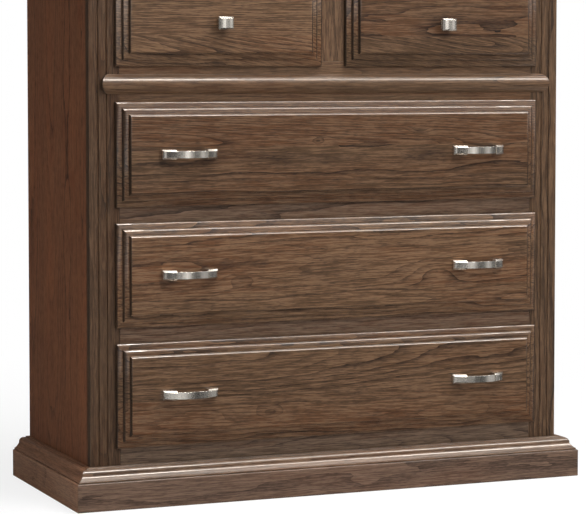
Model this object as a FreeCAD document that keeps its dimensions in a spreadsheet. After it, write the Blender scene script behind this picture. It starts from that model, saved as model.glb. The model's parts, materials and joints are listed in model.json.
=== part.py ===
import FreeCAD, Part
import math
import os
import re
import Sketcher

# A chest with two short drawers over three long ones. Millimetres, +Z up, front facing -Y.
# The origin is under the middle of the whole chest, on the floor.
doc = FreeCAD.newDocument("block_front_chest")
sheet = doc.addObject("Spreadsheet::Sheet", "dims")

driving_sizes = {
    # case
    "case_width": 1000,
    "case_depth": 413,
    "side_thickness": 19,
    "frame_thickness": 19,
    "stile_width": 60,
    "muntin_reveal": 50,
    "groove_first": 18,
    "groove_second": 35,
    "groove_width": 3,
    "groove_depth": 2.5,
    "back_thickness": 6,
    "back_rebate": 10,
    "floor_thickness": 12,
    "partition_thickness": 19,
    # heights up the front
    "plinth_height": 54,
    "bottom_reveal": 33,
    "rail_reveal": 30,
    "waist_reveal": 67.5,
    "top_reveal": 34.5,
    "top_thickness": 24,
    # base, cornice and top
    "base_overhang": 36.3,
    "plinth_round": 2,
    "cap_height": 26,
    "cap_ledge": 8.9,
    "cap_quirk": 2,
    "cap_shoulder_round": 9,
    "cap_shoulder_reach": 23.3,
    "cap_neck_height": 2,
    "cap_cove_reach": 8.2,
    "cap_cove_radius": 30,
    "cap_toe_height": 3.5,
    "cap_toe_reach": 1.5,
    "top_edge_inset": 9,
    "top_edge_step": 3,
    "top_edge_round": 7,
    # half-round at the waist
    "waist_height": 38,
    "waist_reach": 14,
    "waist_inset": 37,
    "cut_overrun": 5,
    # drawer fronts
    "long_front_height": 200,
    "short_front_height": 165,
    "lip_overlap": 9.5,
    "lip_thickness": 9.5,
    "lip_slope_width": 10,
    "lip_slope_drop": 2,
    "lip_round": 3,
    "tier_inset": 12,
    "tier_rise": 6.3,
    "tier_slope_width": 10,
    "tier_slope_drop": 2,
    "tier_round": 4,
    "block_inset": 24,
    "block_rise": 6.3,
    "block_round": 4.5,
    "tongue_depth": 12,
    "tongue_clearance": 3,
    "lip_clearance": 0.4,
    # drawer boxes
    "box_length": 360,
    "box_side": 15,
    "box_back": 15,
    "box_floor_gap": 6,
    "box_headroom": 20,
    "bottom_thickness": 6,
    "bottom_lift": 12,
    "bottom_groove": 7,
    "bottom_clearance": 0.3,
    # drawer slides
    "slide_length": 350,
    "slide_setback": 20,
    "slide_thickness": 12.7,
    "slide_height": 45,
    "slide_gauge": 1.5,
    "slide_race": 4,
    "slide_gap": 0.4,
    "slide_flange": 8,
    # pulls, knobs and their screws
    "pull_centres": 96,
    "pull_share": 0.7,
    "pull_end": 8,
    "pull_foot_width": 24,
    "pull_foot_height": 18.5,
    "pull_foot_bevel": 3.4,
    "pull_strap_height": 13.5,
    "pull_strap_thickness": 4,
    "pull_foot_proud": 1.3,
    "pull_reach": 28,
    "pull_bow": 19,
    "knob_width": 31,
    "knob_height": 24.5,
    "knob_head_depth": 9,
    "knob_bow": 3,
    "knob_bevel": 2.8,
    "knob_neck": 12,
    "knob_neck_depth": 11,
    "knob_foot_width": 23,
    "knob_foot_height": 17,
    "knob_foot_depth": 3,
    "screw_radius": 2,
    "screw_hole_clearance": 0.5,
    "screw_thread_clearance": 0.1,
    "screw_grip": 9,
    "screw_head_radius": 4.5,
    "screw_head_height": 3,
}

for row, (alias, size) in enumerate(driving_sizes.items(), 1):
    sheet.set(f"A{row}", alias)
    sheet.set(f"B{row}", str(size))
    sheet.setAlias(f"B{row}", alias)
doc.recompute()


def cells(text):
    """Turn the size names in a formula into references to the sheet's cells."""
    return re.sub("[a-z_]+", lambda word: "dims." + word[0] if word[0] in driving_sizes else word[0], str(text))


def number(text):
    return float(sheet.evalExpression(cells(text)))


# Places that several pieces share, worked out from the driving sizes.
half_width = "(case_width / 2)"
front_proud = "(lip_thickness + tier_rise + block_rise)"
back_y = "((case_depth + lip_clearance + lip_thickness + tier_rise + block_rise + pull_reach) / 2)"
face_y = f"({back_y} - case_depth)"
inside_y = f"({face_y} + frame_thickness)"
back_panel_y = f"({back_y} - back_thickness)"
base_top = "(plinth_height + cap_height)"
lower_z = f"({base_top} + bottom_reveal)"
middle_z = f"({lower_z} + long_front_height + rail_reveal)"
upper_z = f"({middle_z} + long_front_height + rail_reveal)"
waist_z = f"({upper_z} + long_front_height)"
short_z = f"({waist_z} + waist_reveal)"
short_top = f"({short_z} + short_front_height)"
case_height = f"({short_top} + top_reveal + cap_height)"
opening_edge = f"({half_width} - stile_width)"
muntin_width = "(muntin_reveal + 2 * lip_overlap)"
pull_x = f"({opening_edge} * pull_share)"
total_width = "(case_width + 2 * base_overhang)"
total_depth = "(case_depth + base_overhang)"
base_front_y = f"({face_y} - base_overhang)"

nodes = []


def node(piece, label):
    """Give a finished piece the name that its file takes."""
    piece.Label = label
    nodes.append(piece)
    return piece


def place(piece, x, y, z):
    for axis, where in zip("xyz", (x, y, z)):
        piece.setExpression(f"Placement.Base.{axis}", cells(where))


def board(name, x, y, z, width, depth, height):
    """A plain rectangular piece from its lower front left corner."""
    piece = doc.addObject("Part::Box", name)
    for side, length in (("Length", width), ("Width", depth), ("Height", height)):
        piece.setExpression(side, cells(length))
    place(piece, x, y, z)
    return piece


def mirrored(piece, name, middle="0"):
    """The same piece on the other side of the chest, or of an upright plane at x = middle."""
    other = doc.addObject("Part::Mirroring", name)
    other.Source = piece
    other.Normal = FreeCAD.Vector(1, 0, 0)
    other.setExpression("Base.x", cells(middle))
    return other


def turned_over(piece, name):
    """The same piece upside down, swapped between the base and the top of the case."""
    other = doc.addObject("Part::Mirroring", name)
    other.Source = piece
    other.Normal = FreeCAD.Vector(0, 0, 1)
    other.setExpression("Base.z", cells(f"(plinth_height + {case_height}) / 2"))
    return other


def group(name, pieces):
    """Separate solids that share one node."""
    together = doc.addObject("Part::Compound", name)
    together.Links = pieces
    return together


def new_body(name, x, y, z):
    body = doc.addObject("PartDesign::Body", name)
    place(body, x, y, z)
    return body


def new_sketch(body, plane, lift="0"):
    sketch = body.newObject("Sketcher::SketchObject", body.Name + "_sketch")
    support = next(item for item in body.Origin.OriginFeatures if item.Role == plane)
    sketch.AttachmentSupport = (support, [""])
    sketch.MapMode = "FlatFace"
    sketch.setExpression("AttachmentOffset.Base.z", cells(lift))
    return sketch


def fix(sketch, kind, formula, *places):
    """Bind one distance or radius of a sketch to a formula of the sheet."""
    index = sketch.addConstraint(Sketcher.Constraint(kind, *places, number(formula)))
    sketch.renameConstraint(index, f"{kind.lower()}_{index}")
    sketch.setExpression(f"Constraints.{kind.lower()}_{index}", cells(formula))


def fix_point(sketch, curve, end, x, y):
    for formula, kind, axis in ((x, "DistanceX", -2), (y, "DistanceY", -1)):
        if formula == "0":
            sketch.addConstraint(Sketcher.Constraint("PointOnObject", curve, end, axis))
        else:
            fix(sketch, kind, formula, -1, 1, curve, end)


def arc_between(start, end, radius, turn):
    """The shorter arc from start to end; turn is 1 for anticlockwise and -1 for clockwise."""
    chord = end - start
    reach = math.sqrt(radius ** 2 - chord.Length ** 2 / 4)
    left = FreeCAD.Vector(-chord.y, chord.x, 0).normalize()
    centre = (start + end) / 2 + left * reach * turn
    ends = (start, end) if turn > 0 else (end, start)
    angles = [math.atan2(point.y - centre.y, point.x - centre.x) for point in ends]
    return Part.ArcOfCircle(Part.Circle(centre, FreeCAD.Vector(0, 0, 1), radius), *angles)


def outline(sketch, corners):
    """A closed outline. A corner is (x, y), or (x, y, radius, turn) where an arc leads to the next one."""
    spots = [FreeCAD.Vector(number(corner[0]), number(corner[1]), 0) for corner in corners]
    curves = []
    for corner, start, end in zip(corners, spots, spots[1:] + spots[:1]):
        if len(corner) == 2:
            curves.append((sketch.addGeometry(Part.LineSegment(start, end)), 1, 2))
        else:
            curve = sketch.addGeometry(arc_between(start, end, number(corner[2]), corner[3]))
            curves.append((curve, 1, 2) if corner[3] > 0 else (curve, 2, 1))
    for corner, (curve, start, _), (before, _, end) in zip(corners, curves, curves[-1:] + curves[:-1]):
        sketch.addConstraint(Sketcher.Constraint("Coincident", before, end, curve, start))
        fix_point(sketch, curve, start, corner[0], corner[1])
        if len(corner) > 2:
            fix(sketch, "Radius", corner[2], curve)


def rectangle(sketch, x, y, width, height):
    right = f"{x} + {width}"
    top = f"{y} + {height}"
    outline(sketch, [(x, y), (right, y), (right, top), (x, top)])


def circle(sketch, x, y, radius):
    spot = FreeCAD.Vector(number(x), number(y), 0)
    curve = sketch.addGeometry(Part.Circle(spot, FreeCAD.Vector(0, 0, 1), number(radius)))
    fix_point(sketch, curve, 3, x, y)
    fix(sketch, "Radius", radius, curve)


def pad(sketch, length, side="One side", backwards=False):
    """Raise a sketch by a length: along its normal, against it, or half each way."""
    feature = sketch.getParentGeoFeatureGroup().newObject("PartDesign::Pad", sketch.Name + "_pad")
    feature.Profile = sketch
    feature.SideType = side
    feature.Reversed = backwards
    feature.setExpression("Length", cells(length))
    doc.recompute()
    return feature


def cut_through(sketch):
    """Cut a sketch through the whole body, both ways, and make sure that it took wood away."""
    body = sketch.getParentGeoFeatureGroup()
    before = body.Shape.Volume
    feature = body.newObject("PartDesign::Pocket", sketch.Name + "_cut")
    feature.Profile = sketch
    feature.Type = "ThroughAll"
    feature.SideType = "Symmetric"
    doc.recompute()
    if not body.Shape.Volume < before:
        raise RuntimeError(f"{feature.Name} cut nothing")


def round_edges(body, radius, chosen):
    """Round the edges of a body that chosen(bound box of the edge, bound box of the body) picks."""
    base = body.Tip
    limits = base.Shape.BoundBox
    edges = [f"Edge{index}" for index, edge in enumerate(base.Shape.Edges, 1) if chosen(edge.BoundBox, limits)]
    feature = body.newObject("PartDesign::Fillet", body.Name + "_round")
    feature.Base = (base, edges)
    feature.setExpression("Radius", cells(radius))
    doc.recompute()


def bevel_edges(body, size, chosen):
    """Take off the edges of a body that chosen(bound box of the edge, bound box of the body) picks."""
    base = body.Tip
    limits = base.Shape.BoundBox
    edges = [f"Edge{index}" for index, edge in enumerate(base.Shape.Edges, 1) if chosen(edge.BoundBox, limits)]
    feature = body.newObject("PartDesign::Chamfer", body.Name + "_bevel")
    feature.Base = (base, edges)
    feature.setExpression("Size", cells(size))
    doc.recompute()


def same(first, second):
    return abs(first - second) < FreeCAD.Base.Precision.confusion() * 100


def on_level(edge, level):
    return same(edge.YMin, level) and same(edge.YMax, level)


def on_front(edge, limits):
    return on_level(edge, limits.YMin)


# Case sides: a plan section with a rebate for the back, raised to the full height.
def side_panel():
    depth = "case_depth - frame_thickness"
    body = new_body("left_side", f"-{half_width}", inside_y, "0")
    sketch = new_sketch(body, "XY_Plane")
    rebate_x = "side_thickness - back_rebate"
    rebate_y = f"{depth} - back_thickness"
    outline(sketch, [("0", "0"), ("side_thickness", "0"), ("side_thickness", rebate_y),
                     (rebate_x, rebate_y), (rebate_x, depth), ("0", depth)])
    pad(sketch, case_height)
    return body


# Stiles: a plan section with two V grooves on the face.
def stile():
    body = new_body("left_stile_body", f"-{half_width}", face_y, "0")
    sketch = new_sketch(body, "XY_Plane")
    corners = [("0", "0")]
    for middle in ("groove_first", "groove_second"):
        corners.append((f"{middle} - groove_width / 2", "0"))
        corners.append((middle, "groove_depth"))
        corners.append((f"{middle} + groove_width / 2", "0"))
    corners += [("stile_width", "0"), ("stile_width", "frame_thickness"), ("0", "frame_thickness")]
    outline(sketch, corners)
    pad(sketch, case_height)
    return body


left_side = node(side_panel(), "left_side_panel")
node(mirrored(left_side, "right_side"), "right_side_panel")
left_stile = node(stile(), "left_stile")
node(mirrored(left_stile, "right_stile_body"), "right_stile")


# Face frame rails, between the stiles.
def rail(name, bottom, height):
    return board(name, f"-{opening_edge}", face_y, bottom, f"2 * {opening_edge}", "frame_thickness", height)


waist_rail_top = f"({short_z} + lip_overlap)"
top_rail_bottom = f"({short_top} - lip_overlap)"
drawer_rail_height = "rail_reveal + 2 * lip_overlap"
node(rail("rail_top", top_rail_bottom, f"{case_height} - {top_rail_bottom}"), "top_rail")
node(rail("rail_waist", f"{waist_z} - lip_overlap", "waist_reveal + 2 * lip_overlap"), "waist_rail")
lower_rails = [rail(f"rail_under_{name}", f"{z} + lip_overlap - ({drawer_rail_height})", drawer_rail_height)
               for name, z in (("lower", lower_z), ("middle", middle_z), ("upper", upper_z))]
node(group("rails_long", lower_rails), "drawer_rails")
node(board("muntin", f"-{muntin_width} / 2", face_y, waist_rail_top, muntin_width, "frame_thickness",
           f"{top_rail_bottom} - {waist_rail_top}"), "center_stile")


# Half-round at the waist, with its ends returned: a bar with bowed ends, cut to the half-round section.
def half_round():
    reach = "waist_reach"
    radius = f"((waist_height / 2) ^ 2 + {reach} ^ 2) / (2 * {reach})"
    length = "(case_width - 2 * waist_inset)"
    bottom = f"{waist_z} + (waist_reveal - waist_height) / 2"
    body = new_body("waist_bar", f"-{length} / 2 - {reach}", face_y, bottom)
    bar = new_sketch(body, "XZ_Plane")
    right = f"{reach} + {length}"
    outline(bar, [(reach, "0"), (right, "0", radius, 1), (right, "waist_height"),
                  (reach, "waist_height", radius, 1)])
    pad(bar, f"{reach} + cut_overrun")
    section = new_sketch(body, "YZ_Plane")
    below = "-cut_overrun"
    above = "waist_height + cut_overrun"
    ahead = f"-{reach} - 2 * cut_overrun"
    outline(section, [("0", "0"), ("0", below), (ahead, below), (ahead, above), ("0", above),
                      ("0", "waist_height", radius, 1)])
    cut_through(section)
    return body


node(half_round(), "waist_moulding")


# Plinth boards and cap mouldings share the mitres at the two front corners.
def mitred_front(name, bottom, section):
    body = new_body(name, f"-{total_width} / 2", base_front_y, bottom)
    profile = new_sketch(body, "YZ_Plane")
    outline(profile, section)
    pad(profile, total_width)
    corners = new_sketch(body, "XY_Plane")
    outline(corners, [("0", "0"), ("base_overhang", "base_overhang"), ("0", "base_overhang")])
    outline(corners, [(total_width, "0"), (total_width, "base_overhang"),
                      (f"{total_width} - base_overhang", "base_overhang")])
    cut_through(corners)
    return body


def mitred_return(name, bottom, section):
    body = new_body(name, f"-{total_width} / 2", base_front_y, bottom)
    profile = new_sketch(body, "XZ_Plane")
    outline(profile, section)
    pad(profile, total_depth, backwards=True)
    corner = new_sketch(body, "XY_Plane")
    outline(corner, [("0", "0"), ("base_overhang", "0"), ("base_overhang", "base_overhang")])
    cut_through(corner)
    return body


# Plinth section: the outer face at 0, with its upper edge rounded.
def plinth_section():
    return [("0", "0"), ("base_overhang", "0"), ("base_overhang", "plinth_height"),
            ("plinth_round", "plinth_height", "plinth_round", 1), ("0", "plinth_height - plinth_round")]


# Cap section: a toe, a cove, a neck, a round shoulder and a small ledge against the case.
def cap_section():
    neck_x = "base_overhang - cap_shoulder_reach"
    cove_x = f"{neck_x} - cap_cove_reach"
    toe_x = f"{cove_x} - cap_toe_reach"
    ledge_x = "base_overhang - cap_ledge"
    quirk_z = "cap_height - cap_quirk"
    neck_top = f"{quirk_z} - cap_shoulder_round"
    neck_bottom = f"{neck_top} - cap_neck_height"
    return [(toe_x, "0"), ("base_overhang", "0"), ("base_overhang", "cap_height"), (ledge_x, "cap_height"),
            (ledge_x, quirk_z), (f"{neck_x} + cap_shoulder_round", quirk_z, "cap_shoulder_round", 1),
            (neck_x, neck_top), (neck_x, neck_bottom, "cap_cove_radius", -1),
            (cove_x, "cap_toe_height"), (toe_x, "cap_toe_height")]


for name, bottom, section in (("plinth", "0", plinth_section()), ("base_cap", "plinth_height", cap_section())):
    front = node(mitred_front(f"{name}_long", bottom, section), f"{name}_front")
    left = mitred_return(f"{name}_left", bottom, section)
    pair = [left, mirrored(left, f"{name}_right")]
    node(group(f"{name}_pair", pair), f"{name}_returns")

# The cornice is the base cap turned over, under the top.
node(group("cornice_set", [turned_over(piece, f"{piece.Name}_top") for piece in [front] + pair]), "cornice")


# Top: a board as wide as the base, its front and end edges stepped and rounded.
def top():
    body = new_body("top_slab", f"-{total_width} / 2", base_front_y, case_height)
    slab = new_sketch(body, "XY_Plane")
    rectangle(slab, "top_edge_inset", "top_edge_inset", f"{total_width} - 2 * top_edge_inset",
              f"{total_depth} - top_edge_inset")
    pad(slab, "top_thickness")
    edge = new_sketch(body, "XY_Plane")
    rectangle(edge, "0", "0", total_width, total_depth)
    pad(edge, "top_thickness - top_edge_step")
    round_edges(body, "top_edge_round", on_rim)
    return body


def on_rim(edge, limits):
    """The front and end edges of the wider part, at its upper face."""
    level = limits.ZMax - number("top_edge_step")
    flat = same(edge.ZMin, level) and same(edge.ZMax, level)
    front = same(edge.YMin, limits.YMin) and same(edge.YMax, limits.YMin)
    left = same(edge.XMin, limits.XMin) and same(edge.XMax, limits.XMin)
    right = same(edge.XMin, limits.XMax) and same(edge.XMax, limits.XMax)
    return flat and (front or left or right)


node(top(), "top_board")

# Back in the sides' rebates, the two case floors and the partition between the short drawers.
inner_half = f"({half_width} - side_thickness)"
back_half = f"({inner_half} + back_rebate)"
node(board("back", f"-{back_half}", back_panel_y, "0", f"2 * {back_half}", "back_thickness", case_height),
     "back_panel")
inner_depth = f"({back_panel_y} - {inside_y})"
floors = [board(f"floor_{name}", f"-{inner_half}", inside_y, f"{level} - floor_thickness",
                f"2 * {inner_half}", inner_depth, "floor_thickness")
          for name, level in (("lower", f"{lower_z} + lip_overlap"), ("short", waist_rail_top))]
node(group("floors", floors), "case_floors")
node(board("partition", "-partition_thickness / 2", inside_y, waist_rail_top, "partition_thickness",
           inner_depth, f"{case_height} - {waist_rail_top}"), "center_partition")


# A slide member: a channel of sheet steel, open to the left or to the right.
def channel(name, x, y, z, thickness, height, flange, opens_right):
    outer = board(f"{name}_outer", x, y, z, thickness, "slide_length", height)
    hollow_x = f"{x} + slide_gauge" if opens_right else x
    hollow = board(f"{name}_hollow", hollow_x, y, f"{z} + {flange}", f"{thickness} - slide_gauge",
                   "slide_length", f"{height} - 2 * {flange}")
    member = doc.addObject("Part::Cut", name)
    member.Base = outer
    member.Tool = hollow
    return member


slide_y = f"{face_y} + slide_setback"
cleats = []
rails = []


# Nested slide members between an opening's edge at x and the drawer side to its right.
def left_slide(name, x, z):
    carrier_drop = "(slide_gauge + slide_gap)"
    runner_drop = f"({carrier_drop} + slide_race + slide_gap)"
    rail_part = channel(f"{name}_rail", x, slide_y, z, "slide_gauge + slide_flange", "slide_height",
                        "slide_gauge", True)
    carrier = channel(f"{name}_carrier", f"{x} + {carrier_drop}", slide_y, f"{z} + {carrier_drop}",
                      "slide_flange", f"slide_height - 2 * {carrier_drop}", "slide_race", True)
    runner_x = f"{x} + {carrier_drop} + slide_gauge + slide_gap"
    runner = channel(f"{name}_runner", runner_x, slide_y, f"{z} + {runner_drop}",
                     f"slide_thickness - {carrier_drop} - slide_gauge - slide_gap",
                     f"slide_height - 2 * {runner_drop}", "slide_race", False)
    return rail_part, carrier, runner


# A cleat fills from the case side at x to the opening's edge.
def cleat(name, x, z, width):
    return board(f"{name}_cleat", x, inside_y, z, width, "slide_length", "slide_height")


front_back_y = f"({face_y} + tongue_depth)"
block_y = f"({face_y} - lip_clearance - {front_proud})"


# A machine screw with a round head, pushed through a drawer front from inside the drawer.
def screw(name, x, z):
    length = f"({front_back_y} - {block_y} + screw_grip)"
    head = doc.addObject("Part::Cylinder", f"{name}_head")
    head.setExpression("Radius", cells("screw_head_radius"))
    head.setExpression("Height", cells("screw_head_height"))
    shank = doc.addObject("Part::Cylinder", f"{name}_shank")
    shank.setExpression("Radius", cells("screw_radius"))
    shank.setExpression("Height", cells(f"{length} + screw_head_height"))
    for piece in (head, shank):
        piece.Placement.Rotation = FreeCAD.Rotation(FreeCAD.Vector(1, 0, 0), 90)
        place(piece, x, f"{front_back_y} + screw_head_height", z)
    whole = doc.addObject("Part::Fuse", name)
    whole.Base = head
    whole.Tool = shank
    return whole


# A bowed pull: two bevelled feet and a flat strap between them, all on one bow from end to end.
def pull(name, x, z):
    length = "(pull_centres + 2 * pull_end)"
    body = new_body(name, f"{x} - {length} / 2", f"{block_y} - pull_reach", z)
    span = f"({length} / 2 - pull_foot_width)"
    bow_radius = f"((({length} / 2) ^ 2 + pull_bow ^ 2) / (2 * pull_bow))"
    right = f"pull_foot_width + 2 * {span}"
    foot_radius = f"({bow_radius} + pull_foot_proud)"
    inner_radius = f"({bow_radius} - pull_strap_thickness)"
    end_y = f"{bow_radius} - sqrt({foot_radius} ^ 2 - ({length} / 2) ^ 2)"
    foot_y, outer_y, inner_y = (f"{bow_radius} - sqrt({radius} ^ 2 - {span} ^ 2)"
                                for radius in (foot_radius, bow_radius, inner_radius))
    strap = new_sketch(body, "XY_Plane")
    outline(strap, [("pull_foot_width", outer_y, bow_radius, 1), (right, outer_y),
                    (right, inner_y, inner_radius, -1), ("pull_foot_width", inner_y)])
    pad(strap, "pull_strap_height", side="Symmetric")
    feet = new_sketch(body, "XY_Plane")
    outline(feet, [("0", end_y, foot_radius, 1), ("pull_foot_width", foot_y),
                   ("pull_foot_width", "pull_reach"), ("0", "pull_reach")])
    outline(feet, [(right, foot_y, foot_radius, 1), (length, end_y), (length, "pull_reach"),
                   (right, "pull_reach")])
    pad(feet, "pull_foot_height", side="Symmetric")
    bevel_edges(body, "pull_foot_bevel", lambda edge, limits: same(edge.YMax, number(end_y)))
    holes = new_sketch(body, "XZ_Plane", "-pull_reach")
    for hole_x in ("pull_end", "pull_end + pull_centres"):
        circle(holes, hole_x, "0", "screw_radius + screw_thread_clearance")
    blind_hole(holes)
    return body


def on_knob_face(edge, limits):
    return same(edge.YMax, number("knob_bow"))


# A square knob: a foot, a neck and a bevelled head whose face bows out.
def knob(name, x, z):
    depth = "(knob_head_depth + knob_neck_depth + knob_foot_depth)"
    body = new_body(name, f"{x} - knob_width / 2", f"{block_y} - {depth}", z)
    radius = "((knob_width / 2) ^ 2 + knob_bow ^ 2) / (2 * knob_bow)"
    head = new_sketch(body, "XY_Plane")
    outline(head, [("0", "knob_head_depth"), ("0", "knob_bow", radius, 1), ("knob_width", "knob_bow"),
                   ("knob_width", "knob_head_depth")])
    pad(head, "knob_height", side="Symmetric")
    bevel_edges(body, "knob_bevel", on_knob_face)
    stems = (("knob_neck", "knob_neck", "(knob_neck_depth + knob_foot_depth)"),
             ("knob_foot_width", "knob_foot_height", "knob_foot_depth"))
    for width, height, rise in stems:
        stem = new_sketch(body, "XZ_Plane", f"-{depth}")
        rectangle(stem, f"(knob_width - {width}) / 2", f"-{height} / 2", width, height)
        pad(stem, rise)
    hole = new_sketch(body, "XZ_Plane", f"-{depth}")
    circle(hole, "knob_width / 2", "0", "screw_radius + screw_thread_clearance")
    blind_hole(hole)
    return body


def blind_hole(sketch):
    """A tapped hole from a foot's back, as deep as the screw's grip and a little more."""
    body = sketch.getParentGeoFeatureGroup()
    before = body.Shape.Volume
    feature = body.newObject("PartDesign::Pocket", sketch.Name + "_hole")
    feature.Profile = sketch
    feature.Reversed = True
    feature.setExpression("Length", cells("screw_grip + screw_hole_clearance"))
    doc.recompute()
    if not body.Shape.Volume < before:
        raise RuntimeError(f"{feature.Name} cut nothing")


def slope(body, level, drop, outer, inner, width, height):
    """A band that rises by drop from a rectangle outer in from the edges to one inner in from them."""
    rims = []
    for margin, lift in ((outer, level), (inner, f"{level} + {drop}")):
        rim = new_sketch(body, "XZ_Plane", lift)
        rectangle(rim, margin, margin, f"{width} - 2 * {margin}", f"{height} - 2 * {margin}")
        rims.append(rim)
    feature = body.newObject("PartDesign::AdditiveLoft", rims[0].Name + "_slope")
    feature.Profile = rims[0]
    feature.Sections = rims[1:]
    feature.Ruled = True
    doc.recompute()


# A drawer front: a tongue inside the opening, a lip over the frame, a tier and the raised block. The lip and
# the tier slope up towards the block.
def drawer_front(name, x, z, width, height, screw_spots):
    body = new_body(f"{name}_face", x, f"{face_y} - lip_clearance", z)
    inset = "(lip_overlap + tongue_clearance)"
    tongue = new_sketch(body, "XZ_Plane")
    rectangle(tongue, inset, inset, f"{width} - 2 * {inset}", f"{height} - 2 * {inset}")
    pad(tongue, "tongue_depth + lip_clearance", backwards=True)
    steps = (("0", "0", "lip_thickness", "lip_slope_width", "lip_slope_drop", "lip_round"),
             ("tier_inset", "lip_thickness", "tier_rise", "tier_slope_width", "tier_slope_drop", "tier_round"))
    for margin, level, rise, slope_width, drop, radius in steps:
        step = new_sketch(body, "XZ_Plane", level)
        rectangle(step, margin, margin, f"{width} - 2 * {margin}", f"{height} - 2 * {margin}")
        pad(step, f"{rise} - {drop}")
        slope(body, f"({level} + {rise} - {drop})", drop, margin, f"({margin} + {slope_width})", width, height)
        round_edges(body, radius, lambda edge, limits: on_level(edge, limits.YMin + number(drop)))
    block = new_sketch(body, "XZ_Plane", "(lip_thickness + tier_rise)")
    rectangle(block, "block_inset", "block_inset", f"{width} - 2 * block_inset", f"{height} - 2 * block_inset")
    pad(block, "block_rise")
    round_edges(body, "block_round", on_front)
    holes = new_sketch(body, "XZ_Plane")
    for spot in screw_spots:
        circle(holes, spot, f"{height} / 2", "screw_radius + screw_hole_clearance")
    cut_through(holes)
    return body


# A drawer side: a section with a groove for the bottom, drawn out along the drawer.
def drawer_side(name, x, z, height):
    body = new_body(f"{name}_left_side", x, front_back_y, z)
    section = new_sketch(body, "XZ_Plane")
    floor = "box_side - bottom_groove"
    groove_top = "bottom_lift + bottom_thickness + bottom_clearance"
    outline(section, [("0", "0"), ("box_side", "0"), ("box_side", "bottom_lift"), (floor, "bottom_lift"),
                      (floor, groove_top), ("box_side", groove_top), ("box_side", height), ("0", height)])
    pad(section, "box_length", backwards=True)
    return body


# The wooden box behind a front, from its outer left side at x.
def drawer_box(name, x, z, width, height):
    left = drawer_side(name, x, z, height)
    right = mirrored(left, f"{name}_right_side", f"{x} + {width} / 2")
    inner_x = f"{x} + box_side"
    inner_width = f"{width} - 2 * box_side"
    slot = "(bottom_groove - bottom_clearance)"
    above_bottom = "(bottom_lift + bottom_thickness)"
    back = board(f"{name}_rear", inner_x, f"{front_back_y} + box_length - box_back", f"{z} + {above_bottom}",
                 inner_width, "box_back", f"{height} - {above_bottom}")
    bottom = board(f"{name}_floor", f"{inner_x} - {slot}", front_back_y, f"{z} + bottom_lift",
                   f"{inner_width} + 2 * {slot}", "box_length", "bottom_thickness")
    return group(f"{name}_side_pair", [left, right]), back, bottom


def box_place(z, front_height):
    """The height of a drawer box's lower edge, of its sides and of its slides' lower edge."""
    bottom = f"({z} + lip_overlap + box_floor_gap)"
    height = f"({front_height} - 2 * lip_overlap - box_floor_gap - box_headroom)"
    return bottom, height, f"({bottom} + ({height} - slide_height) / 2)"


# Long drawers: symmetric about the middle of the chest, with two pulls each.
def long_drawer(name, z):
    width = f"(2 * ({opening_edge} + lip_overlap))"
    left_spots = [f"{width} / 2 - {pull_x} {sign} pull_centres / 2" for sign in "-+"]
    spots = left_spots + [f"{width} - ({spot})" for spot in left_spots]
    node(drawer_front(name, f"-{width} / 2", z, width, "long_front_height", spots), f"{name}_front")
    bottom, height, slide_z = box_place(z, "long_front_height")
    box_width = f"(2 * ({opening_edge} - slide_thickness))"
    sides, back, floor = drawer_box(name, f"-{box_width} / 2", bottom, box_width, height)
    node(sides, f"{name}_sides")
    node(back, f"{name}_back")
    node(floor, f"{name}_bottom")
    handle_z = f"{z} + long_front_height / 2"
    left_pull = pull(f"{name}_left_pull", f"-{pull_x}", handle_z)
    node(group(f"{name}_pull_pair", [left_pull, mirrored(left_pull, f"{name}_right_pull")]), f"{name}_pulls")
    screws = []
    for end, sign in (("outer", "-"), ("inner", "+")):
        one = screw(f"{name}_{end}_screw", f"-{pull_x} {sign} pull_centres / 2", handle_z)
        screws += [one, mirrored(one, f"{name}_{end}_screw_right")]
    node(group(f"{name}_screw_set", screws), f"{name}_screws")
    members = left_slide(name, f"-{opening_edge}", slide_z)
    pairs = [[member, mirrored(member, f"{member.Name}_right")] for member in members]
    packer = cleat(name, f"-{inner_half}", slide_z, f"{inner_half} - {opening_edge}")
    rails.extend(pairs[0])
    cleats.extend([packer, mirrored(packer, f"{name}_cleat_right")])
    node(group(f"{name}_runner_pair", pairs[2]), f"{name}_slide_runners")
    node(group(f"{name}_carrier_pair", pairs[1]), f"{name}_slide_carriers")


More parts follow.
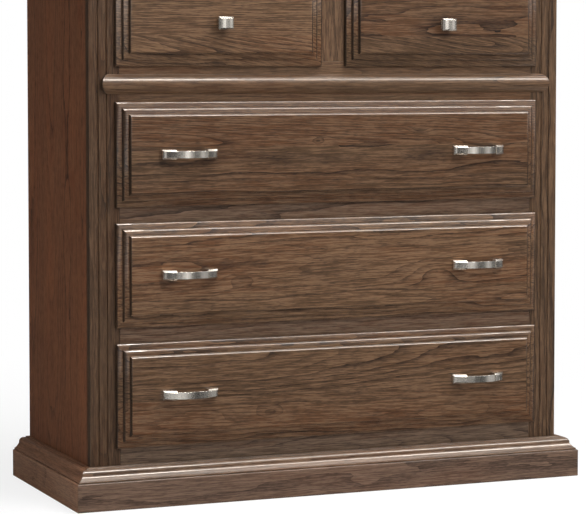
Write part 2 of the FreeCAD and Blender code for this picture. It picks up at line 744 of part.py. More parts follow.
# Short drawers: the left one is built, the right one is its mirror image. One knob each.
def short_drawers():
    inner_edge = f"(-{muntin_width} / 2)"
    opening = f"({opening_edge} + {inner_edge})"
    width = f"({opening} + 2 * lip_overlap)"
    left_x = f"(-{opening_edge} - lip_overlap)"
    middle = f"({left_x} + {width} / 2)"
    bottom, height, slide_z = box_place(short_z, "short_front_height")
    handle_z = f"{short_z} + short_front_height / 2"
    name = "left_short_drawer"
    front = drawer_front(name, left_x, short_z, width, "short_front_height", [f"{width} / 2"])
    box_x = f"(-{opening_edge} + slide_thickness)"
    box_width = f"({opening} - 2 * slide_thickness)"
    sides, back, floor = drawer_box(name, box_x, bottom, box_width, height)
    handle = knob(f"{name}_handle", middle, handle_z)
    fastener = screw(f"{name}_screw", middle, handle_z)
    outer = left_slide(name, f"-{opening_edge}", slide_z)
    inner = [mirrored(member, f"{member.Name}_inner", middle) for member in outer]
    rail_pair, carrier_pair, runner_pair = (list(pair) for pair in zip(outer, inner))
    packers = [cleat(name, f"-{inner_half}", slide_z, f"{inner_half} - {opening_edge}"),
               cleat(f"{name}_inner", inner_edge, slide_z, f"({muntin_width} - partition_thickness) / 2")]
    for piece in rail_pair:
        rails.extend([piece, mirrored(piece, f"{piece.Name}_far")])
    for piece in packers:
        cleats.extend([piece, mirrored(piece, f"{piece.Name}_far")])
    pieces = (("front", front), ("sides", sides), ("back", back), ("bottom", floor), ("knob", handle),
              ("screws", fastener), ("slide_runners", group(f"{name}_runner_pair", runner_pair)),
              ("slide_carriers", group(f"{name}_carrier_pair", carrier_pair)))
    for label, piece in pieces:
        node(piece, f"left_short_drawer_{label}")
        node(mirrored(piece, f"right_short_drawer_{label}"), f"right_short_drawer_{label}")


short_drawers()
for drawer, z in (("upper_drawer", upper_z), ("middle_drawer", middle_z), ("lower_drawer", lower_z)):
    long_drawer(drawer, z)
node(group("cleat_set", cleats), "slide_cleats")
node(group("rail_set", rails), "slide_rails")

doc.recompute()
for item in doc.Objects:
    if "Invalid" in item.State or "Error" in item.State:
        raise RuntimeError(f"{item.Name} failed: {item.State}")
os.makedirs("parts", exist_ok=True)
for piece in nodes:
    if piece.Shape.isNull() or not piece.Shape.isValid():
        raise RuntimeError(f"{piece.Label} has no valid shape")
    piece.Shape.exportStep(f"parts/{piece.Label}.step")
    print(piece.Label, len(piece.Shape.Solids), round(piece.Shape.Volume))
print(len(nodes), "nodes")
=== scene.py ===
import json
import math

import bpy
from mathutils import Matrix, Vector


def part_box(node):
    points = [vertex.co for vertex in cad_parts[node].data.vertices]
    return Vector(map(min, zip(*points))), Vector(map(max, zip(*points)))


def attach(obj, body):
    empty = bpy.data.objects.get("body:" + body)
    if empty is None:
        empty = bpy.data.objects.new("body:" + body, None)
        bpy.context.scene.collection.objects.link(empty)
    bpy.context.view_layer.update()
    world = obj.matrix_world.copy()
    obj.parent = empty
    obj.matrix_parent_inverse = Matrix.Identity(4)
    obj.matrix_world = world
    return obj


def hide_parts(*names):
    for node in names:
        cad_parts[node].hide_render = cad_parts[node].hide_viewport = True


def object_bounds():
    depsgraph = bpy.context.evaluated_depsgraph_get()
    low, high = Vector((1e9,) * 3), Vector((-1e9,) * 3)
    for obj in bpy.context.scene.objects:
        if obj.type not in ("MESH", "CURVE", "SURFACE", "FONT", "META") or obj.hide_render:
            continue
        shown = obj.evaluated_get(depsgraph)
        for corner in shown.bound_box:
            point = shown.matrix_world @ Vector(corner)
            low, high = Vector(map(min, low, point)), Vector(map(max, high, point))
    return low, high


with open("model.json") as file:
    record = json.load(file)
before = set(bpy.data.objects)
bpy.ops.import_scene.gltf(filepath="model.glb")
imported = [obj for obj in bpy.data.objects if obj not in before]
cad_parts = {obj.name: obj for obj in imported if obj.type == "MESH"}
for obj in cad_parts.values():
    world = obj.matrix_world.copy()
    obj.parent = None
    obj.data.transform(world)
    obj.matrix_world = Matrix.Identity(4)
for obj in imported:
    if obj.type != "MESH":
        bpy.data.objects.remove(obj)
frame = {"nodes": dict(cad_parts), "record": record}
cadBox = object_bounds()
cadNodes = frame["nodes"]
nodeBody = {node: body for body, members in frame["record"]["behaviour"]["bodies"].items() for node in members}
scene = bpy.context.scene
scene.view_settings.view_transform = "Standard"
print("frame loaded with", len(cadNodes), "nodes")


class Flow:
    # one output of a node, so that shader sums read as sums

    def __init__(self, maker, socket):
        self.maker = maker
        self.socket = socket

    def maths(self, operation, *values):
        return self.maker.node("ShaderNodeMath", {"operation": operation}, dict(enumerate(values)))

    def __add__(self, other):
        return self.maths("ADD", self, other)

    def __sub__(self, other):
        return self.maths("SUBTRACT", self, other)

    def __rsub__(self, other):
        return self.maths("SUBTRACT", other, self)

    def __mul__(self, other):
        return self.maths("MULTIPLY", self, other)

    def __truediv__(self, other):
        return self.maths("DIVIDE", self, other)

    def __pow__(self, other):
        return self.maths("POWER", self, other)

    def __rpow__(self, other):
        return self.maths("POWER", other, self)

    def __abs__(self):
        return self.maths("ABSOLUTE", self)

    __radd__ = __add__
    __rmul__ = __mul__

    def floor(self):
        return self.maths("FLOOR", self)

    def root(self):
        return self.maths("SQRT", self)

    def lifted(self, least):  # runs from least to 1 instead of from 0 to 1
        return self * (1 - least) + least

    def rise(self, low, high):  # 0 below low, 1 above high, eased between
        settings = {"interpolation_type": "SMOOTHSTEP"}
        return self.maker.node("ShaderNodeMapRange", settings, {0: self, 1: low, 2: high})


class NodeMaker:
    # adds nodes to one material's or the world's tree

    def __init__(self, owner):
        owner.use_nodes = True
        self.owner = owner
        self.tree = owner.node_tree
        self.tree.nodes.clear()

    def node(self, kind, settings=None, sockets=None, output=0):
        made = self.tree.nodes.new(kind)
        for name, value in (settings or {}).items():
            setattr(made, name, value)
        for key, value in (sockets or {}).items():
            if isinstance(value, Flow):
                self.tree.links.new(value.socket, made.inputs[key])
            else:
                made.inputs[key].default_value = value
        return Flow(self, made.outputs[output]) if made.outputs else made

    def mix(self, share, first, second):  # by the Mix node's factor and its two colours
        return self.node("ShaderNodeMix", {"data_type": "RGBA"}, {0: share, 6: first, 7: second}, 2)

    def vector(self, x, y, z):
        return self.node("ShaderNodeCombineXYZ", None, {"X": x, "Y": y, "Z": z})

    def noise(self, places, pitches, shift=0.0, detail=2.0):  # pitches in waves a metre, shift along the first place
        first, *others = (place * pitch for place, pitch in zip(places, pitches))
        where = self.vector(first + shift, *others)
        return self.node("ShaderNodeTexNoise", None, {"Vector": where, "Scale": 1.0, "Detail": detail})

    def chance(self, value, output="Value"):  # one random number or colour for each whole number
        return self.node("ShaderNodeTexWhiteNoise", {"noise_dimensions": "1D"}, {"W": value}, output)

    def parts(self, vector):
        return {axis: self.node("ShaderNodeSeparateXYZ", None, {0: vector}, axis.upper()) for axis in "xyz"}

    def place(self):
        return self.parts(self.node("ShaderNodeTexCoord", None, None, "Object"))

    def normal(self):
        return self.parts(self.node("ShaderNodeNewGeometry", None, None, "Normal"))

    def seen(self):  # 1 for what the camera sees, straight, mirrored or through glass
        straight, mirrored, through = (self.node("ShaderNodeLightPath", None, None, f"Is {ray} Ray")
                                       for ray in ("Camera", "Glossy", "Transmission"))
        return straight.maths("MAXIMUM", straight.maths("MAXIMUM", straight, mirrored), through)

    def surface(self, sockets, height=None, depth=None, strength=None):
        if height is not None:
            bump = {"Height": height, "Distance": depth, "Strength": strength}
            sockets["Normal"] = self.node("ShaderNodeBump", None, bump)
        shader = self.node("ShaderNodeBsdfPrincipled", None, sockets)
        self.node("ShaderNodeOutputMaterial", None, {0: shader})
        return self.owner


def newFinish(name):
    return NodeMaker(bpy.data.materials.new(name))


def colour(red, green, blue):  # a colour as seen on a screen, 0 to 255
    def linear(value):
        value /= 255
        return value / 12.92 if value <= 0.04045 else ((value + 0.055) / 1.055) ** 2.4
    return (linear(red), linear(green), linear(blue), 1.0)


# Stained oak, cut from a log: rings round a pith that leans a little along the board. A board is glued up from
# strips, each from a place of its own in the log. Pitches are along and across the grain.
frameStain = {"warm": colour(97, 67, 46), "grey": colour(91, 69, 51), "dark": colour(30, 18, 12),
              "light": colour(130, 101, 77), "pore": colour(22, 13, 9), "end": colour(42, 33, 26)}
frontStain = {"warm": colour(101, 67, 43), "grey": colour(93, 69, 48), "dark": colour(33, 17, 10),
              "light": colour(134, 103, 77), "pore": colour(21, 13, 9), "end": colour(32, 23, 17)}
# Oak stain for the side panels, made lighter and redder as painted light for the sides, which stand in shade.
sideStainWithPaintedLight = {"warm": colour(127, 71, 39), "grey": colour(116, 69, 42), "dark": colour(60, 33, 20),
             "light": colour(136, 90, 60), "pore": colour(42, 24, 16), "end": colour(40, 26, 20)}
oak = {"ringWidth": 0.0038, "ringSpread": 0.0042, "ringFade": 3.0, "ringLeast": 0.2, "wobble": 1.1,
       "pithNear": 0.03, "pithSpread": 0.09, "lean": 0.055, "sway": 0.026,
       "knotStretch": 2.4, "knotRings": 1.9, "knotCore": 4, "poreLeast": 0.4, "lineLeast": 0.65,
       "pitch": {"sway": (2.4, 5), "bend": (2.8, 3), "wobble": (6, 45), "pore": (70, 600), "dash": (8, 260),
                 "fibre": (18, 430), "mottle": (2.1, 9)},
       "edges": {"pore": (0.47, 0.61), "dash": (0.36, 0.6), "fibre": (0.42, 0.58), "mottle": (0.36, 0.64),
                 "end": (0.04, 0.2)},
       "stripStep": {"sway": 5.3, "bend": -3.1, "dash": 7, "mottle": 2 / 9, "ring": 31},
       "seedStep": {"lot": 13.7, "mottle": 3}, "fibreDetail": 3.0}
stainShares = {"lot": 0.3, "light": 0.75, "poreBase": 0.15, "pore": 0.55, "end": 0.75}
varnish = {"rough": 0.26, "poreRough": 0.18, "fibreRough": 0.08, "specular": 0.15, "coatRough": 0.1, "endLoss": 0.85,
           "poreDip": 0.7, "ringDip": 0.3, "depth": 0.0003, "strength": 0.35}
frameOak = {"strip": 0.085, "gloss": 0.25}


def toned(stain, tone):  # tone is one number, or one each for red, green and blue
    shares = tone if isinstance(tone, tuple) else (tone,) * 3
    return {part: tuple(min(1.0, value * share) for value, share in zip(shade, shares)) + (1.0,)
            for part, shade in stain.items()}


def stainedOak(name, node, axes, stain, seed, strip=frameOak["strip"], figure=1.0, gloss=frameOak["gloss"], knots=(),
               slant=0.0):
    low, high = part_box(node)
    middle = dict(zip("xyz", (low + high) / 2))
    paint = newFinish(name)
    spot = paint.place()
    along, across, inward = (spot[axis] - middle[axis] for axis in axes)
    step, edges = oak["stripStep"], oak["edges"]
    row = (across / strip + seed).floor()
    lot = paint.parts(paint.chance(row + seed * oak["seedStep"]["lot"], "Color"))
    tilt = along * slant * (1 - row.maths("MODULO", row, 2))
    tilted = across + tilt

    def grain(kind, side, shift=0.0, detail=2.0):
        lengthways, sideways = oak["pitch"][kind]
        return paint.noise((along, side, inward), (lengthways, sideways, sideways), shift, detail)

    sway = grain("sway", across, row * step["sway"] + seed) - 0.5
    bend = grain("bend", across, row * step["bend"] - seed) - 0.5
    offset = across - (row + (0.5 - seed)) * strip - (lot["x"] - 0.5) * strip + sway * oak["sway"] + tilt
    pith = lot["z"] * oak["pithSpread"] + oak["pithNear"] + along * (lot["y"] - 0.5) * (2 * oak["lean"])
    radius = (offset ** 2 + (inward + pith + bend * oak["sway"]) ** 2).root()
    wobble = (grain("wobble", across) - 0.5) * oak["wobble"]
    rings = radius / (lot["z"] * oak["ringSpread"] + oak["ringWidth"]) + wobble
    eyes = []
    for knotAlong, knotAcross, size, eye in knots:
        gap = ((along - knotAlong) / oak["knotStretch"]) ** 2 + (across - knotAcross) ** 2
        swell = math.e ** (gap * (-1 / size ** 2))
        rings = rings + swell * oak["knotRings"]
        eyes.append(swell ** oak["knotCore"] * eye)
    ring = rings.floor()
    ringTone = paint.chance(ring + row * step["ring"]).lifted(oak["ringLeast"])
    early = (1 - (rings - ring)) ** oak["ringFade"] * ringTone
    pore = grain("pore", tilted).rise(*edges["pore"]) * early.lifted(oak["poreLeast"])
    line = early * grain("dash", tilted, row * step["dash"]).rise(*edges["dash"]).lifted(oak["lineLeast"])
    fibre = grain("fibre", tilted, detail=oak["fibreDetail"])
    mottle = grain("mottle", across + row * step["mottle"], seed * oak["seedStep"]["mottle"])
    mottle = mottle + (lot["x"] - 0.5) * stainShares["lot"]
    tint = paint.mix(mottle.rise(*edges["mottle"]), stain["warm"], stain["grey"])
    tint = paint.mix(fibre.rise(*edges["fibre"]) * (stainShares["light"] * figure), tint, stain["light"])
    tint = paint.mix(line * figure, tint, stain["dark"])
    tint = paint.mix(pore * (stainShares["poreBase"] + stainShares["pore"] * figure), tint, stain["pore"])
    if eyes:
        tint = paint.mix(sum(eyes), tint, stain["pore"])
    endFace = abs(paint.normal()[axes[0]]).rise(*edges["end"])
    tint = paint.mix(endFace * stainShares["end"], tint, stain["end"])
    rough = pore * varnish["poreRough"] + fibre * varnish["fibreRough"] + varnish["rough"]
    sockets = {"Base Color": tint, "Roughness": rough, "Specular IOR Level": varnish["specular"],
               "Coat Weight": (1 - endFace * varnish["endLoss"]) * gloss, "Coat Roughness": varnish["coatRough"]}
    height = 1 - pore * varnish["poreDip"] - early * varnish["ringDip"]
    return paint.surface(sockets, height, varnish["depth"], varnish["strength"])


# Pale woods inside the case and the drawers. Plywood also shows its layers on its edges.
paleGrain = {"wavePitch": (1.8, 9, 9), "waveReach": 5, "grainPitch": 3, "grainDetail": 3.0, "grainEdges": (0.35, 0.7),
             "streakPitch": (30, 700, 700), "streakEdges": (0.55, 0.75), "streakShare": 0.25, "layerShare": 0.6,
             "layerEdges": (0.4, 0.8), "rough": 0.42, "streakRough": 0.15, "depth": 0.0001, "strength": 0.2}


def paleWood(name, axes, wood):
    paint = newFinish(name)
    spot = paint.place()
    places = [spot[axis] for axis in axes]
    wave = paint.noise(places, paleGrain["wavePitch"]) * paleGrain["waveReach"]
    pitches = (paleGrain["grainPitch"], 1 / wood["ringWidth"], 1 / wood["ringWidth"])
    grain = paint.noise(places, pitches, wave, paleGrain["grainDetail"])
    streak = paint.noise(places, paleGrain["streakPitch"]).rise(*paleGrain["streakEdges"])
    tint = paint.mix(grain.rise(*paleGrain["grainEdges"]), wood["light"], wood["dark"])
    tint = paint.mix(streak * paleGrain["streakShare"], tint, wood["dark"])
    if "layer" in wood:
        layer = (places[2] / wood["layer"]).floor()
        edge = 1 - abs(paint.normal()[axes[2]]).rise(*paleGrain["layerEdges"])
        tint = paint.mix(edge * paint.chance(layer) * paleGrain["layerShare"], tint, wood["dark"])
    sockets = {"Base Color": tint, "Roughness": streak * paleGrain["streakRough"] + paleGrain["rough"]}
    return paint.surface(sockets, streak, paleGrain["depth"], paleGrain["strength"])


# Satin nickel, brushed across the strap of a pull.
nickel = {"brushPitch": (400, 300, 30), "cloudPitch": (40, 40, 40), "dark": colour(206, 200, 191),
          "light": colour(216, 210, 201), "edges": (0.3, 0.7), "rough": 0.22, "brushRough": 0.04, "cloudRough": 0.04}


def satinNickel(name):
    paint = newFinish(name)
    places = paint.place().values()
    brush = paint.noise(places, nickel["brushPitch"])
    cloud = paint.noise(places, nickel["cloudPitch"])
    tint = paint.mix(brush.rise(*nickel["edges"]), nickel["dark"], nickel["light"])
    rough = brush * nickel["brushRough"] + cloud * nickel["cloudRough"] + nickel["rough"]
    return paint.surface({"Base Color": tint, "Roughness": rough, "Metallic": 1.0})


# Zinc-plated steel of slides and screws.
zinc = {"pitch": (300, 90, 300), "detail": 3.0, "dark": colour(176, 180, 186), "light": colour(206, 208, 210),
        "edges": (0.3, 0.7), "rough": 0.25, "spangleRough": 0.2, "depth": 0.00005, "strength": 0.1}


def zincSteel(name):
    paint = newFinish(name)
    spangle = paint.noise(paint.place().values(), zinc["pitch"], detail=zinc["detail"])
    tint = paint.mix(spangle.rise(*zinc["edges"]), zinc["dark"], zinc["light"])
    rough = spangle * zinc["spangleRough"] + zinc["rough"]
    return paint.surface({"Base Color": tint, "Roughness": rough, "Metallic": 1.0}, spangle, zinc["depth"],
                         zinc["strength"])


def onlySelect(piece):
    bpy.ops.object.select_all(action="DESELECT")
    bpy.context.view_layer.objects.active = piece
    piece.select_set(True)


def addModifier(piece, kind, **settings):
    modifier = piece.modifiers.new(kind.lower(), kind)
    for name, value in settings.items():
        setattr(modifier, name, value)
    onlySelect(piece)
    bpy.ops.object.modifier_apply(modifier=modifier.name)


easing = {"mergeGap": 0.00001, "flatAngle": math.radians(0.5), "sharpAngle": math.radians(34), "segments": 3}


# A copy of a CAD node with its arrises taken off, as sanding and finishing leave them.
def easedCopy(node, ease, label="finished", keep=None):
    mesh = cadNodes[node].data.copy()
    mesh.materials.clear()
    piece = bpy.data.objects.new(node + "_" + label, mesh)
    scene.collection.objects.link(piece)
    onlySelect(piece)
    bpy.ops.mesh.customdata_custom_splitnormals_clear()
    bpy.ops.object.mode_set(mode="EDIT")
    if keep is not None:
        bpy.ops.mesh.select_all(action="DESELECT")
        bpy.ops.object.mode_set(mode="OBJECT")
        for face in mesh.polygons:
            face.select = not keep(face.center, face.normal)
        bpy.ops.object.mode_set(mode="EDIT")
        bpy.ops.mesh.delete(type="FACE")
    bpy.ops.mesh.select_all(action="SELECT")
    bpy.ops.mesh.remove_doubles(threshold=easing["mergeGap"])
    bpy.ops.mesh.dissolve_limited(angle_limit=easing["flatAngle"])
    bpy.ops.object.mode_set(mode="OBJECT")
    addModifier(piece, "BEVEL", width=ease, segments=easing["segments"], limit_method="ANGLE",
                angle_limit=easing["sharpAngle"], miter_outer="MITER_ARC")
    onlySelect(piece)
    bpy.ops.object.shade_smooth_by_angle(angle=easing["sharpAngle"])
    addModifier(piece, "WEIGHTED_NORMAL", keep_sharp=True)
    return piece


def settle(piece, node, slotName, *finishes):
    for finish in finishes:
        piece.data.materials.append(finish)
    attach(piece, nodeBody[node])
    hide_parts(node)


# Face frame, mouldings and top: grain, width and depth axes, a number for the log, tone of the stain, and strength of
# the figure. The returns' tones, above 1, lighten their stain as painted light for the sides in shade.
caseBoards = {"ease": 0.0006, "gloss": {"base_cap_front": 0.55}, "boards": {
    "left_stile": ("zxy", 1.31, 0.5, 0.9),
    "right_stile": ("zxy", 2.47, 0.68, 0.95),
    "center_stile": ("zxy", 3.62, 0.8, 0.9),
    "top_rail": ("xzy", 4.18, 0.95, 0.8),
    "waist_rail": ("xzy", 5.27, 0.95, 0.7),
    "drawer_rails": ("xzy", 6.71, (0.84, 0.95, 1.12), 0.8),
    "waist_moulding": ("xzy", 7.34, 0.82, 0.7),
    "plinth_front": ("xzy", 8.52, (0.9, 0.97, 1.18), 0.75),
    # painted light: stain lightened for the plinth returns on the sides in shade
    "plinth_returns": ("yzx", 9.16, (2.0, 2.0, 2.2), 0.5),
    "base_cap_front": ("xzy", 10.43, (0.95, 1.0, 1.1), 0.7),
    # painted light: stain lightened for the base cap returns on the sides in shade
    "base_cap_returns": ("yzx", 11.58, (1.5, 1.25, 1.2), 0.6),
    "top_board": ("xyz", 12.25, 0.9, 0.8)}}
for node, (axes, seed, tone, figure) in caseBoards["boards"].items():
    board = easedCopy(node, caseBoards["ease"])
    stain = toned(frameStain, tone)
    gloss = caseBoards["gloss"].get(node, frameOak["gloss"])
    finish = stainedOak("stained_" + node, node, axes, stain, seed, figure=figure, gloss=gloss)
    settle(board, node, "frame_oak", finish)
print("face frame, mouldings and top finished")

# Side panels, each with a number for its log. Their stain is the oak stain made lighter and redder, painted light for
# the sides in shade.
sideBoards = {"ease": 0.0006, "strip": 0.11, "figure": 1.2,
              "boards": {"left_side_panel": 13.37, "right_side_panel": 14.81}}
for node, seed in sideBoards["boards"].items():
    board = easedCopy(node, sideBoards["ease"])
    finish = stainedOak("stained_" + node, node, "zyx", sideStainWithPaintedLight, seed, sideBoards["strip"], sideBoards["figure"])
    settle(board, node, "side_oak", finish)
print("side panels finished")

# The top moulding is one node of three mitred lengths, so each length is eased by itself.
cornice = {"ease": 0.0006, "front": ("xzy", 15.29), "returns": ("yzx", 16.64), "touch": 0.00002}
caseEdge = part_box("right_side_panel")[1].x
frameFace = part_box("right_stile")[0].y


def corniceLength(side):
    def keep(centre, normal):
        pastMitre = abs(centre.x) - caseEdge - (frameFace - centre.y)
        if abs(pastMitre) < cornice["touch"]:
            pastMitre = -(normal.x * math.copysign(1, centre.x) + normal.y)
        return pastMitre < 0 if side == 0 else pastMitre > 0 and centre.x * side > 0
    return easedCopy("cornice", cornice["ease"], "length", keep)


lengths = [corniceLength(side) for side in (0, -1, 1)]
corniceFinishes = []
for part in ("front", "returns"):
    axes, seed = cornice[part]
    corniceFinishes.append(stainedOak("stained_cornice_" + part, "cornice", axes, frameStain, seed))
for length, finish in zip(lengths, (0, 1, 1)):
    for made in corniceFinishes:
        length.data.materials.append(made)
    for face in length.data.polygons:
        face.material_index = finish
onlySelect(lengths[0])
for length in lengths[1:]:
    length.select_set(True)
bpy.ops.object.join()
lengths[0].name = "cornice_finished"
settle(lengths[0], "cornice", "frame_oak")
print("top moulding finished")

# Drawer fronts: a number for the log, tone of the stain, slant of the grain, and knots as place along, place up, size
# and darkness.
drawerFronts = {"ease": 0.0005, "strip": 0.095, "figure": 1.0, "gloss": 1.0, "boards": {
    "left_short_drawer_front": (17.253, 0.8, 0.14, ()),
    "right_short_drawer_front": (19.253, 0.6, 0.14, ()),
    "upper_drawer_front": (19.86, 0.63, 0.02, ((0.18, 0.04, 0.011, 0.5), (-0.04, 0.022, 0.005, 0.4))),
    "middle_drawer_front": (20.41, 0.82, -0.02, ((-0.2, -0.012, 0.013, 0.35), (0.22, -0.012, 0.022, 0.0))),
    "lower_drawer_front": (21.13, 0.72, 0.03, ((-0.14, -0.045, 0.011, 0.4),))}}
for node, (seed, tone, slant, knots) in drawerFronts["boards"].items():
    board = easedCopy(node, drawerFronts["ease"])
    stain = toned(frontStain, tone)
    finish = stainedOak("stained_" + node, node, "xzy", stain, seed, drawerFronts["strip"], drawerFronts["figure"],
                        drawerFronts["gloss"], knots, slant)
    settle(board, node, "front_oak", finish)
print("drawer fronts finished")

# Drawer boxes.
drawerNames = ["left_short_drawer", "right_short_drawer", "upper_drawer", "middle_drawer", "lower_drawer"]
drawerBoxes = {"ease": 0.0012, "light": colour(214, 186, 148), "dark": colour(186, 150, 108), "ringWidth": 0.011}
boxFinishes = {part: paleWood("drawer_wood_" + part, axes, drawerBoxes)
               for part, axes in (("sides", "yzx"), ("back", "xzy"))}
for drawer in drawerNames:
    for part, finish in boxFinishes.items():
        board = easedCopy(f"{drawer}_{part}", drawerBoxes["ease"])
        settle(board, f"{drawer}_{part}", "drawer_wood", finish)
print("drawer boxes finished")

# Pulls and knobs.
handles = {"ease": 0.0006, "kinds": {
    "left_short_drawer": "knob", "right_short_drawer": "knob",
    "upper_drawer": "pulls", "middle_drawer": "pulls", "lower_drawer": "pulls"}}
handleFinish = satinNickel("satin_nickel")
for drawer, kind in handles["kinds"].items():
    handle = easedCopy(f"{drawer}_{kind}", handles["ease"])
    settle(handle, f"{drawer}_{kind}", "satin_nickel", handleFinish)
print("pulls and knobs finished")

# Plywood, softwood and steel keep their CAD shapes.
plywood = {"light": colour(206, 174, 132), "dark": colour(176, 138, 96), "ringWidth": 0.02, "layer": 0.0014}
softwood = {"light": colour(218, 188, 142), "dark": colour(186, 144, 96), "ringWidth": 0.007}
plainFinishes = {"back_panel": paleWood("plywood_back", "zxy", plywood),
                 "case_floors": paleWood("plywood_flat", "xyz", plywood),
                 "center_partition": paleWood("softwood_upright", "yzx", softwood)}
plainFinishes["slide_cleats"] = plainFinishes["center_partition"]
plainFinishes["slide_rails"] = zincSteel("zinc_steel")
for drawer in drawerNames:
    plainFinishes[drawer + "_bottom"] = plainFinishes["case_floors"]
    for part in ("screws", "slide_runners", "slide_carriers"):
        plainFinishes[f"{drawer}_{part}"] = plainFinishes["slide_rails"]
for node, finish in plainFinishes.items():
    cadNodes[node].data.materials.clear()
    cadNodes[node].data.materials.append(finish)
print("inner pieces finished")

# Floor: white where lit and far off, with the object's shadow round its foot.
floor = {"radius": 14.0, "sides": 96, "drop": 0.0005, "tone": (0.92, 0.92, 0.92, 1.0), "nearGlow": 0.78,
         "fadeFrom": 0.5, "fadeTo": 2.2}
bpy.ops.object.select_all(action="DESELECT")
bpy.ops.mesh.primitive_circle_add(vertices=floor["sides"], radius=floor["radius"], fill_type="NGON",
                                  location=(0, 0, cadBox[0][2] - floor["drop"]))
floorPiece = bpy.context.object
floorPiece.name = "studio_floor"
floorPaint = newFinish("studio_floor")
spot = floorPaint.place()
far = (spot["x"] ** 2 + spot["y"] ** 2).root().rise(floor["fadeFrom"], floor["fadeTo"])
matt = floorPaint.node("ShaderNodeBsdfDiffuse", None, {"Color": floor["tone"]})
glow = floorPaint.node("ShaderNodeEmission", None, {"Color": (1, 1, 1, 1), "Strength": 1.0})
share = floorPaint.seen() * far.lifted(floor["nearGlow"])
blended = floorPaint.node("ShaderNodeMixShader", None, {0: share, 1: matt, 2: glow})
floorPaint.node("ShaderNodeOutputMaterial", None, {0: blended})
floorPiece.data.materials.append(floorPaint.owner)

# A dark curtain and mat, which only mirrors show, keep the woodwork from mirroring a white room. Paler panels on the
# curtain show in the pulls and knobs: turn and spread in degrees from the eye, glow, and height of the foot.
curtain = {"radius": 7.0, "height": 4.2, "lift": 0.0005, "sides": 64, "dim": 0.04, "bright": 2.4,
           "eye": (-1.83, 3.46), "fade": 0.6, "spill": (1.2, 0.6), "panels": {
               "front": (24, 24, 0.9, 1.2),
               "near left": (12.5, 4, 1.4, -1.0),
               "near right": (37, 4, 0.7, -1.0),
               "left": (-38, 10, 0.7, -1.0),
               "right": (66, 8, 0.35, -1.0)}}
bpy.ops.object.select_all(action="DESELECT")
bpy.ops.mesh.primitive_circle_add(vertices=curtain["sides"], radius=curtain["radius"], fill_type="NGON",
                                  location=(0, 0, cadBox[0][2] + curtain["lift"]))
curtainPiece = bpy.context.object
curtainPiece.name = "studio_curtain"
bpy.ops.object.mode_set(mode="EDIT")
bpy.ops.mesh.select_all(action="SELECT")
bpy.ops.mesh.region_to_loop()
bpy.ops.mesh.extrude_edges_move(TRANSFORM_OT_translate={"value": (0, 0, curtain["height"])})
bpy.ops.object.mode_set(mode="OBJECT")
curtainPaint = newFinish("studio_curtain")
spot = curtainPaint.place()
aside, ahead = (spot[axis] - place for axis, place in zip("xy", curtain["eye"]))
reach = (ahead ** 2 + aside ** 2).root()
inFront = 1 - spot["y"].rise(-curtain["fade"], curtain["fade"])
shares = []
for turn, spread, glow, foot in curtain["panels"].values():
    facing = (aside * math.sin(math.radians(turn)) - ahead * math.cos(math.radians(turn))) / reach
    edges = [math.cos(math.radians(spread * share)) for share in curtain["spill"]]
    raised = spot["z"].rise(foot, foot + curtain["fade"])
    peak = (glow - curtain["dim"]) / (curtain["bright"] - curtain["dim"])
    shares.append(facing.rise(*edges) * raised * inFront * peak)
dim, bright = (curtainPaint.node("ShaderNodeEmission", None, {"Color": (1, 1, 1, 1), "Strength": curtain[level]})
               for level in ("dim", "bright"))
cloth = curtainPaint.node("ShaderNodeMixShader", None, {0: sum(shares), 1: dim, 2: bright})
curtainPaint.node("ShaderNodeOutputMaterial", None, {0: cloth})
curtainPiece.data.materials.append(curtainPaint.owner)
for ray in ("camera", "diffuse", "transmission", "shadow", "volume_scatter"):
    setattr(curtainPiece, "visible_" + ray, False)

# World: white behind the object, a plain level of light elsewhere.
world = {"ambient": 0.36}
scene.world = bpy.data.worlds.new("studio")
sky = NodeMaker(scene.world)
strength = sky.seen().lifted(world["ambient"])
background = sky.node("ShaderNodeBackground", None, {"Color": (1, 1, 1, 1), "Strength": strength})
sky.node("ShaderNodeOutputWorld", None, {0: background})

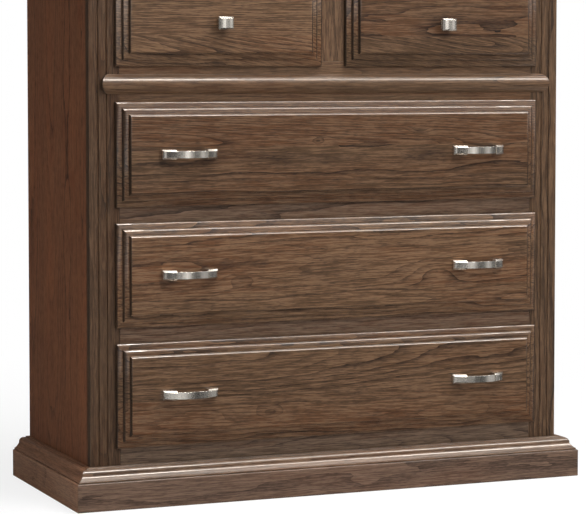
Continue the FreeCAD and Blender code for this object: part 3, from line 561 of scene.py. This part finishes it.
# Lamps: one overhead, a softer one from the front right, and ceiling panels that only show as reflections.
lamps = {
    "overhead": {"place": (0.3, -0.75, 3.0), "aim": (0.1, -0.45, 0.6), "size": (2.6, 0.8), "power": 85},
    "front_right": {"place": (1.9, -3.2, 3.3), "aim": (0.0, -0.1, 0.55), "size": (2.2, 2.2), "power": 125}}
ceiling = {
    "ceiling_back": {"place": (0.3, -0.75, 3.2), "aim": (0.3, -0.7, 0.0), "size": (3.4, 0.8), "power": 42},
    "ceiling_left": {"place": (-0.3, -2.35, 3.2), "aim": (-0.3, -2.3, 0.0), "size": (2.6, 1.06), "power": 390},
    "ceiling_middle": {"place": (1.42, -2.35, 3.2), "aim": (1.42, -2.3, 0.0), "size": (0.84, 1.06), "power": 54},
    "ceiling_right": {"place": (2.64, -2.35, 3.2), "aim": (2.64, -2.3, 0.0), "size": (1.6, 1.06), "power": 190}}
ceilingTint = (1.0, 0.95, 0.88)
for name, lamp in (lamps | ceiling).items():
    light = bpy.data.lights.new(name, "AREA")
    light.shape = "RECTANGLE"
    light.size, light.size_y = lamp["size"]
    light.energy = lamp["power"]
    if name in ceiling:
        light.color = ceilingTint
    holder = bpy.data.objects.new(name, light)
    holder.visible_diffuse = name in lamps
    holder.visible_glossy = name in ceiling
    holder.visible_camera = False
    holder.location = lamp["place"]
    holder.rotation_euler = (Vector(lamp["aim"]) - Vector(lamp["place"])).to_track_quat("-Z", "Y").to_euler()
    scene.collection.objects.link(holder)

# Camera: fitted to the corners of the case, the drawers and the plinth.
shot = {"place": (-1.8317, -4.3962, 0.8392), "turn": 22.5294, "down": 3.2198, "lens": 143.5194, "sensor": 36.0,
        "shift": -0.1, "farthest": 60.0}
camera = bpy.data.cameras.new("shot")
camera.lens = shot["lens"]
camera.sensor_width = shot["sensor"]
camera.sensor_fit = "HORIZONTAL"
camera.shift_y = shot["shift"]
camera.clip_end = shot["farthest"]
cameraHolder = bpy.data.objects.new("shot", camera)
cameraHolder.location = shot["place"]
cameraHolder.rotation_euler = (math.radians(90 - shot["down"]), 0, math.radians(-shot["turn"]))
scene.collection.objects.link(cameraHolder)
scene.camera = cameraHolder
print("floor, lights and camera placed")
